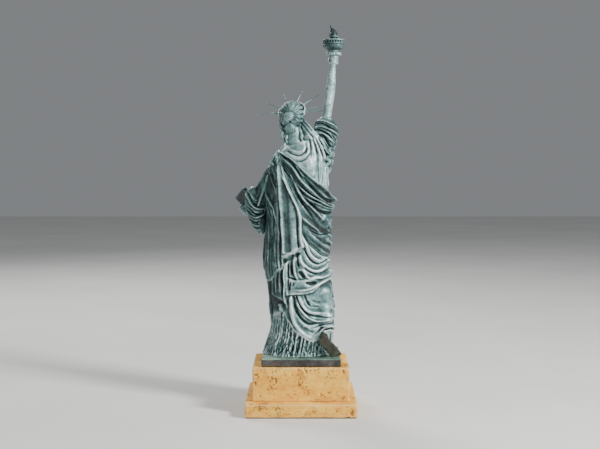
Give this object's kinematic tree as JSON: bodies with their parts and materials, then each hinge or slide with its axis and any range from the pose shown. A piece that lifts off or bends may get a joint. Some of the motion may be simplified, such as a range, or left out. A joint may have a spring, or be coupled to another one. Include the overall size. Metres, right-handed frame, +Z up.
{
  "type": "miniature landmark model",
  "caption": "Desk-size patinated bronze of a robed figure raising a torch, with a rayed crown and a tablet, on a two-step stone base.",
  "frame": {"origin": "centre of the underside of the base, on the face of the felt sheet", "axes": "+Z up; the figure faces -Y, its raised right arm is on the -X side and its tablet on the +X side"},
  "size_m": [0.191, 0.17, 0.6],
  "materials": {
    "patina_bronze": "cast bronze with a blue-green and grey patina, dark in the hollows",
    "plinth_bronze": "cast bronze plate, dark brown sides with some green on top",
    "stone": "honed golden travertine with open pits",
    "felt": "pressed felt",
    "steel": "zinc-plated steel"
  },
  "bodies": {
    "root": {"felt_sheet": "felt", "base_slab": "stone", "base_block": "stone", "threaded_studs": "steel", "washers": "steel", "hex_nuts": "steel", "plinth": "plinth_bronze", "under_tunic": "patina_bronze", "over_skirt": "patina_bronze", "upper_robe": "patina_bronze", "mantle_panel": "patina_bronze", "mantle_sash": "patina_bronze", "right_sleeve": "patina_bronze", "left_sleeve": "patina_bronze", "raised_arm": "patina_bronze", "arm_dowel": "steel", "torch_handle": "patina_bronze", "torch_gallery": "patina_bronze", "torch_flame": "patina_bronze", "left_forearm": "patina_bronze", "tablet": "patina_bronze", "neck": "patina_bronze", "neck_dowel": "steel", "head": "patina_bronze", "hair_knot": "patina_bronze", "diadem": "patina_bronze", "crown_rays": "patina_bronze", "right_foot": "patina_bronze", "left_foot": "patina_bronze"}
  },
  "joints": []
}
